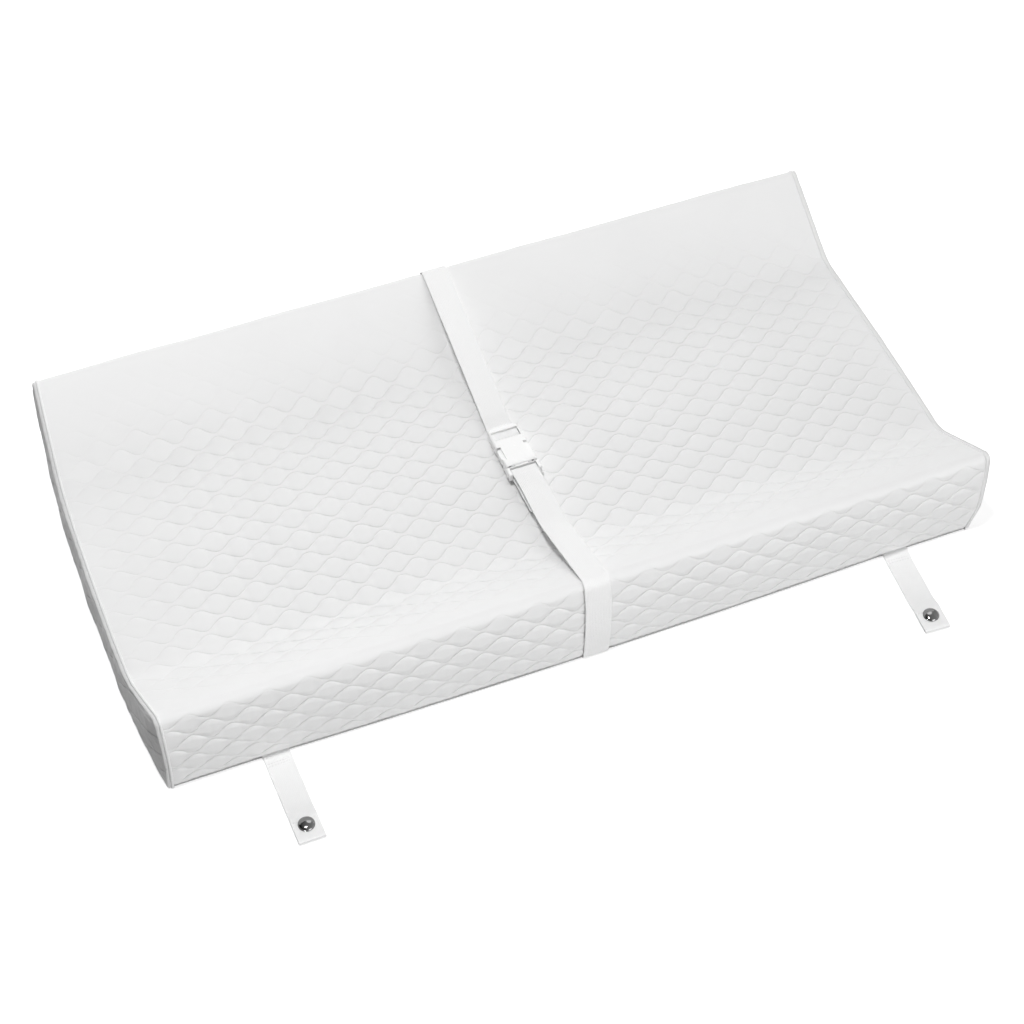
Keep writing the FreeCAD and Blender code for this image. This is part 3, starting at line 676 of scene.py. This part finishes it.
def webbing(name, line, start, end, place=BELT_PLACE, step=1.5 * MM, seed=0, tongue=0):
    """A strap of webbing with rounded selvedges between two distances along a line. A tongue is a
    slightly thinner length that runs on inside the next piece."""
    count = max(3, int((end - start) / step))
    s = np.concatenate([np.linspace(start, end, count + 1), [end, end + tongue] if tongue else []])
    thinner = np.where(np.arange(len(s)) > count, 0.94, 1.0)[:, None]
    y, z = line.at(s)
    ny, nz = line.normal(s)
    half_width, half = WEB_WIDTH / 2, WEB_THICKNESS / 2
    across = np.array([-1, -0.985, -0.95, -0.9, -0.6, -0.3, 0, 0.3, 0.6, 0.9, 0.95, 0.985, 1.0])
    selvedge = np.where(np.abs(across) > 0.91, 1.0, 0.86)
    crown = half * np.sqrt(np.clip(1 - np.abs(across) ** 24, 0, 1)) * selvedge
    round_trip = np.concatenate([across, across[-2:0:-1]])
    level = np.concatenate([crown, -crown[-2:0:-1]])
    wander = 0.12 * MM * ripples(s, 0 * s, 30 * MM, seed=seed + 20)
    vertices = np.zeros((len(s), len(level), 3))
    level = level[None, :] * thinner
    vertices[:, :, 0] = round_trip[None, :] * half_width * np.sqrt(thinner) + wander[:, None]
    vertices[:, :, 1] = y[:, None] + ny[:, None] * level
    vertices[:, :, 2] = z[:, None] + nz[:, None] * level
    index = np.arange(level.size).reshape(level.shape)
    closed = np.concatenate([index, index[:, :1]], 1)
    shoulder = grid_faces(closed[count:count + 2]) if tongue else []
    faces = list(grid_faces(closed[:count + 1])) + list(grid_faces(closed[count + 1:]) if tongue else [])
    faces += list(shoulder) + [index[0, ::-1], index[-1]]
    turn, shift = np.array(place.to_3x3()), np.array(place.translation)
    settled = settle(vertices.reshape(-1, 3) @ turn.T + shift)
    piece = make_object(name, settled, faces, MATERIALS["webbing"], flat=2 + len(shoulder))
    uv = piece.data.uv_layers.new(name="weave")
    corner = np.zeros(len(piece.data.loops), np.int32)
    piece.data.loops.foreach_get("vertex_index", corner)
    plan = np.stack([np.repeat(s, len(round_trip)), np.tile(round_trip * half_width, len(s))], -1)
    uv.data.foreach_set("uv", plan[corner].astype(np.float32).ravel())
    return piece


def buckle_point(along, up):
    """A point of the buckle, measured from its strap bar along and across its tilted axis, as (y, z)."""
    bar = JOINTS["strap_bar_pivot"]["pos_m"]
    lower = JOINTS["belt_fold"]["pos_m"]
    axis = unit(np.array((bar[1] - lower[1], bar[2] - lower[2])))
    return (bar[1] + along * axis[0] - up * axis[1], bar[2] + along * axis[1] + up * axis[0])


def side_corners(crest):
    """Corners of a strap that is sewn under the pad, climbs its front and rounds the ridge."""
    return [
        (-185 * MM, 2 * MM, 0),
        (-204.32 * MM, 2 * MM, 1.5 * MM),
        (-210.66 * MM, 48.79 * MM, 308 * MM),
        crest,
    ]


def make_belt():
    """The front belt, one length of webbing in three pieces that run into each other, and its tail."""
    hinge = JOINTS["belt_release"]["pos_m"]
    fold = JOINTS["belt_fold"]["pos_m"]
    bar = JOINTS["strap_bar_pivot"]["pos_m"]
    bar_radius = 1.7 * MM
    loop = bar_radius + WEB_CLEARANCE + WEB_THICKNESS / 2
    corners = side_corners((-202.92 * MM, 105.92 * MM, 7.7 * MM)) + [
        (hinge[1], hinge[2], 70 * MM),
        buckle_point(-2 * loop, loop + 0.5 * MM) + (6 * MM,),
        buckle_point(loop + 0.5 * MM, loop + 0.5 * MM) + (1.5 * MM,),
        buckle_point(loop + 0.3 * MM, -loop) + (loop * 0.98,),
        buckle_point(-1 * MM, -loop) + (0,),
    ]
    line = RoundedLine(corners)
    middle_low = line.where((hinge[1] + fold[1]) / 2)
    middle_high = line.where((fold[1] + bar[1]) / 2)

    front = webbing("belt_front_webbing", line, 0, middle_low, seed=1, tongue=2 * MM)
    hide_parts("belt_front")
    bend(front)
    middle = webbing("belt_middle_webbing", line, middle_low, middle_high, seed=1, tongue=2 * MM)
    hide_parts("belt_fold_lower")
    bend(middle)
    upper = webbing("belt_bar_webbing", line, middle_high, line.length, step=0.6 * MM, seed=1)
    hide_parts("belt_fold_upper")
    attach(upper, "belt_fold_upper")

    drop = loop + WEB_THICKNESS + WEB_CLEARANCE
    tail_line = RoundedLine([
        buckle_point(-46 * MM, -drop) + (0,),
        buckle_point(-20 * MM, -drop - 0.6 * MM) + (60 * MM,),
        buckle_point(1 * MM, -drop) + (0,),
    ])
    tail = webbing("belt_tail_webbing", tail_line, 0, tail_line.length, seed=3)
    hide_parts("belt_tail")
    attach(tail, "buckle_insert")


def bend(piece):
    """Bakes a piece's placement into its mesh."""
    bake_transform(piece)


def make_rear_belt():
    """The rear belt. Its line enters the housing's slot, rounds the bar and comes back under itself."""
    layer = WEB_THICKNESS + 0.2 * MM
    loop_y, loop_z, loop_top = 46 * MM, -0.4 * MM, 4.1 * MM
    slot_edge, slot_gap = 53 * MM, 0.12 * MM
    slot_back = slot_edge - WEB_THICKNESS / 2 - slot_gap
    bar_radius = 1.8 * MM
    loop = bar_radius + WEB_CLEARANCE + WEB_THICKNESS / 2
    upper_z, bend_y, drop, free_end = -2.75 * MM, 63 * MM, math.radians(30), 30 * MM
    bend_place = buckle_point(bend_y, upper_z)
    crest = (-203.0 * MM, 105.28 * MM, 7.7 * MM)
    over = [(-y, z, radius) for y, z, radius in side_corners(crest)]
    rise = math.atan2(crest[1] - bend_place[1], -crest[0] - bend_place[0]) + math.radians(5)
    turn_y = bend_y + layer * math.tan(rise / 2)
    lower_z = upper_z - layer
    slack = loop_z - loop * math.tan(drop) - lower_z
    round_bar = [
        (bend_y, upper_z, 14 * MM),
        (slot_back, upper_z, 0.9 * MM),
        (slot_back - 0.3 * MM, loop_top, 0.9 * MM),
        (loop_y - loop, loop_top, 2.4 * MM),
        (loop_y - loop, loop_z - loop * math.tan(drop), loop),
        (loop_y - loop + slack / math.tan(drop), lower_z, 2 * MM),
        (turn_y, lower_z, 14 * MM + layer),
        (turn_y + free_end * math.cos(rise), lower_z + free_end * math.sin(rise), 0),
    ]
    line = RoundedLine(over + [buckle_point(a, b) + (radius,) for a, b, radius in round_bar])
    rear = webbing("belt_rear_webbing", line, 0, line.length, step=1.0 * MM, seed=5)
    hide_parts("belt_rear")
    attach(rear, "pad")


def stitch_row(name, start, end, up, body):
    """A row of stitches, each a short rib of thread that dips into the webbing at both ends."""
    pitch, length, radius, rise, sides = 2.6 * MM, 2.1 * MM, 0.26 * MM, 0.16 * MM, 8
    along = (end - start).normalized()
    across = along.cross(up)
    shares = np.linspace(0.04, 0.96, 7)
    angles = np.linspace(0, 2 * math.pi, sides, endpoint=False)
    vertices, faces = [], []
    for number in range(round((end - start).length / pitch)):
        first = len(vertices)
        for share in shares:
            arch = math.sin(math.pi * share)
            middle = start + along * (number * pitch + share * length) + up * (rise * (2 * arch - 1) / 2)
            thick = radius * math.sqrt(arch)
            vertices += [middle + thick * (across * math.cos(a) + up * math.sin(a)) for a in angles]
        index = np.arange(first, len(vertices)).reshape(-1, sides)
        closed = np.concatenate([index, index[:, :1]], 1)
        faces += list(grid_faces(closed)) + [index[0, ::-1], index[-1]]
    piece = make_object(name, vertices, [face[::-1] for face in faces], MATERIALS["thread"])
    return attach(piece, body)


def make_anchor(side):
    """A furniture strap with a folded hem, sewn under the pad's front edge."""
    joint = JOINTS[f"anchor_strap_{side}_swing"]
    hinge = Vector(joint["pos_m"])
    yaw = math.atan2(joint["axis"][1], joint["axis"][0])
    place = Matrix.Translation(hinge) @ Matrix.Rotation(yaw, 4, "Z")
    rise, rest, fold = 1.9 * MM, -1.25 * MM, WEB_THICKNESS + 0.05 * MM
    hem_end, tip, turn = -69 * MM, -91.5 * MM, fold * 0.49
    corners = [
        (hem_end, rise - fold, 0),
        (tip, rise - fold, turn),
        (tip, rise, turn),
        (-67 * MM, rise, 14 * MM),
        (-57 * MM, rest, 14 * MM),
        (-8.5 * MM, rest, 8 * MM),
        (-1.5 * MM, 0, 3 * MM),
        (21 * MM, 0, 0),
    ]
    line = RoundedLine(corners)
    strap = webbing(f"anchor_{side}_webbing", line, 0, line.length, place, seed=7)
    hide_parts(f"anchor_strap_{side}", f"anchor_tab_{side}")
    body = f"anchor_strap_{side}"
    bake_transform(strap)
    row_half = 10.5 * MM
    rows = ((-71 * MM, rise), (-8 * MM, rest + 0.1 * MM), (-5.5 * MM, -0.7 * MM))
    for number, (along, up) in enumerate(rows):
        ends = [place @ Vector((across * row_half, along, up + WEB_THICKNESS / 2)) for across in (-1, 1)]
        stitch_row(f"anchor_{side}_stitches_{number}", *ends, Vector((0, 0, 1)), body)


# ---------------------------------------------------------------- snaps and buckle


def turned(name, outline, node, body):
    """A turned solid on a node's upright axis. The outline is (radius, height), from the axis round
    and back to the axis."""
    sides, hub = 64, 0.05 * MM
    low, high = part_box(node)
    centre = (low + high) / 2
    angles = np.linspace(0, 2 * math.pi, sides, endpoint=False)
    radius = np.array([hub] + [r for r, _ in outline] + [hub])[:, None]
    height = np.array([outline[0][1]] + [z for _, z in outline] + [outline[-1][1]])[:, None]
    x, y = centre.x + radius * np.cos(angles), centre.y + radius * np.sin(angles)
    vertices = np.stack([x, y, np.broadcast_to(height, x.shape)], -1).reshape(-1, 3)
    index = np.arange(len(vertices)).reshape(-1, sides)
    closed = np.concatenate([index, index[:, :1]], 1)
    faces = list(grid_faces(closed)) + [index[0, ::-1], index[-1]]
    piece = make_object(name, vertices, faces, MATERIALS["snap_metal"])
    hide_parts(node)
    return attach(piece, body)


def arc_points(centre, radii, start, end, count=7):
    """Points (radius, height) on an elliptical arc, its angles in degrees."""
    angles = np.radians(np.linspace(start, end, count))
    return [(centre[0] + radii[0] * math.cos(a), centre[1] + radii[1] * math.sin(a)) for a in angles]


def make_snap(side):
    """A domed cap with a rolled rim above the webbing, and a spring socket below it."""
    body = f"anchor_strap_{side}"
    low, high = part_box(f"snap_cap_{side}")
    radius, shank, top = (high.x - low.x) / 2, 2.4 * MM, high.z
    seat, roll = 4.62 * MM, 0.42 * MM
    cap = [(shank, low.z), (shank, seat + 0.1 * MM), (radius - 1.6 * MM, seat)]
    cap += arc_points((radius - roll, seat + roll), (roll, roll), -90, 80)
    cap += arc_points((0, seat + 1.7 * roll), (radius - 1.1 * roll, top - seat - 1.7 * roll), 3, 89, 16)
    turned(f"snap_{side}_cap", cap, f"snap_cap_{side}", body)

    low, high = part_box(f"snap_socket_{side}")
    radius, mouth, lip = (high.x - low.x) / 2, 3.7 * MM, 0.55 * MM
    plate = low.z + 1.35 * MM
    socket = [(mouth, plate), (mouth, low.z + 2 * lip)]
    socket += arc_points((mouth + lip, low.z + lip), (lip, lip), 180, 270, 5)
    socket += arc_points((radius - lip, low.z + lip), (lip, lip), 270, 450)
    socket += [(shank + 0.8 * MM, plate + 0.1 * MM), (shank, plate + 0.5 * MM), (shank, high.z)]
    turned(f"snap_{side}_socket", socket, f"snap_socket_{side}", body)


def make_buckle():
    """The buckle keeps its designed shapes, in moulded plastic."""
    for name in ("buckle_housing", "buckle_insert", "release_arm_left", "release_arm_right"):
        mesh = frame["nodes"][name].data
        mesh.materials.clear()
        mesh.materials.append(MATERIALS["buckle_plastic"])


# ---------------------------------------------------------------- stage


def make_stage():
    """A pale floor that turns white away from the pad, and soft light. The floor throws less light
    back on the left, so that the pad's left end is shaded."""
    floor_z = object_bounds()[0].z - 0.1 * MM
    reach = 6.0
    shader = Shader("floor", Roughness=0.9, Emission_Color=(1, 1, 1, 1))
    place = shader.place()
    seen = shader.add("LightPath").outputs["Is Camera Ray"]
    far = shader.add("VectorMath", {0: place}, operation="LENGTH").outputs["Value"]
    fading = {"Value": far, "From Min": 0.8, "From Max": 2.4, "To Min": 0.6, "To Max": 1.0}
    glow = shader.add("MapRange", fading).outputs["Result"]
    x = shader.add("SeparateXYZ", {"Vector": place}).outputs["X"]
    left = shader.add("MapRange", {"Value": x, "From Min": -0.38, "From Max": -0.5}).outputs["Result"]
    glow = shader.compute("ADD", glow, shader.compute("MULTIPLY", left, 0.2))
    shader.set(shader.surface, {"Emission Strength": shader.compute("MULTIPLY", seen, glow)})
    corners = [(x * reach, y * reach, floor_z) for x, y in ((-1, -1), (1, -1), (1, 1), (-1, 1))]
    surface = shader.finish(shader.tint(left, grey(0.65), grey(0.3)))
    make_object("floor", corners, [(0, 1, 2, 3)], surface)

    world = bpy.data.worlds.new("studio")
    world.use_nodes = True
    tree = world.node_tree
    background = tree.nodes["Background"]
    background.inputs["Color"].default_value = (1, 1, 1, 1)
    # The room is brighter towards the right and the front, and plain white where it is seen.
    place = tree.nodes.new("ShaderNodeTexCoord")
    lean = tree.nodes.new("ShaderNodeVectorMath")
    lean.operation = "DOT_PRODUCT"
    lean.inputs[1].default_value = (0.34, -0.06, 0.0)
    level = tree.nodes.new("ShaderNodeMath")
    level.inputs[1].default_value = 0.27
    level.use_clamp = True
    path = tree.nodes.new("ShaderNodeLightPath")
    shown = tree.nodes.new("ShaderNodeMath")
    shown.operation = "MAXIMUM"
    tree.links.new(place.outputs["Generated"], lean.inputs[0])
    tree.links.new(lean.outputs["Value"], level.inputs[0])
    tree.links.new(level.outputs[0], shown.inputs[0])
    tree.links.new(path.outputs["Is Camera Ray"], shown.inputs[1])
    tree.links.new(shown.outputs[0], background.inputs["Strength"])
    bpy.context.scene.world = world

    light("key", (-0.18, -0.1, 0.95), 0.4, 0.55)
    light("fill", (0.3, 0.5, 0.81), 1.6, 0.08)
    light("front", (0.25, -1.0, 0.03), 2.0, 0.67)
    light("back", (0.0, 1.0, 0.35), 2.0, 0.38)


def light(name, towards, size, level):
    """A soft lamp that lights a white card facing it to a level from 0 to 1."""
    distance = 3.2
    lamp = bpy.data.lights.new(name, "AREA")
    lamp.energy, lamp.size = level * (math.pi * distance) ** 2, size
    lamp.shape = "DISK"
    stand = bpy.data.objects.new(name, lamp)
    stand.location = Vector(towards).normalized() * distance
    stand.rotation_euler = (-stand.location).to_track_quat("-Z", "Y").to_euler()
    stand.visible_camera = False
    bpy.context.scene.collection.objects.link(stand)


def make_camera():
    """The photograph's viewpoint, fitted to the pad's outline."""
    camera = bpy.data.cameras.new("camera")
    camera.lens, camera.sensor_width = 80.0, 36.0
    stand = bpy.data.objects.new("camera", camera)
    right = Vector((0.929, -0.370, 0.007)).normalized()
    back = Vector((-0.2347, -0.5752, 0.7837)).normalized()
    up = back.cross(right).normalized()
    right = up.cross(back)
    turn = Matrix((right, up, back)).transposed().to_4x4()
    stand.matrix_world = Matrix.Translation((-0.511, -1.267, 1.689)) @ turn
    bpy.context.scene.collection.objects.link(stand)
    bpy.context.scene.camera = stand
    bpy.context.scene.view_settings.view_transform = "Standard"


# ---------------------------------------------------------------- assembly

make_cover(MATERIALS["quilted_vinyl"])
for side_name, side_sign in (("left", -1), ("right", 1)):
    make_end_panel(f"end_panel_{side_name}", side_sign, MATERIALS["end_vinyl_shaded"])
    make_welt(f"end_welt_{side_name}", side_sign, MATERIALS["welt_vinyl"])
    make_anchor(side_name)
    make_snap(side_name)
make_base(MATERIALS["base_cloth"])
make_belt()
make_rear_belt()
make_buckle()
make_stage()
make_camera()
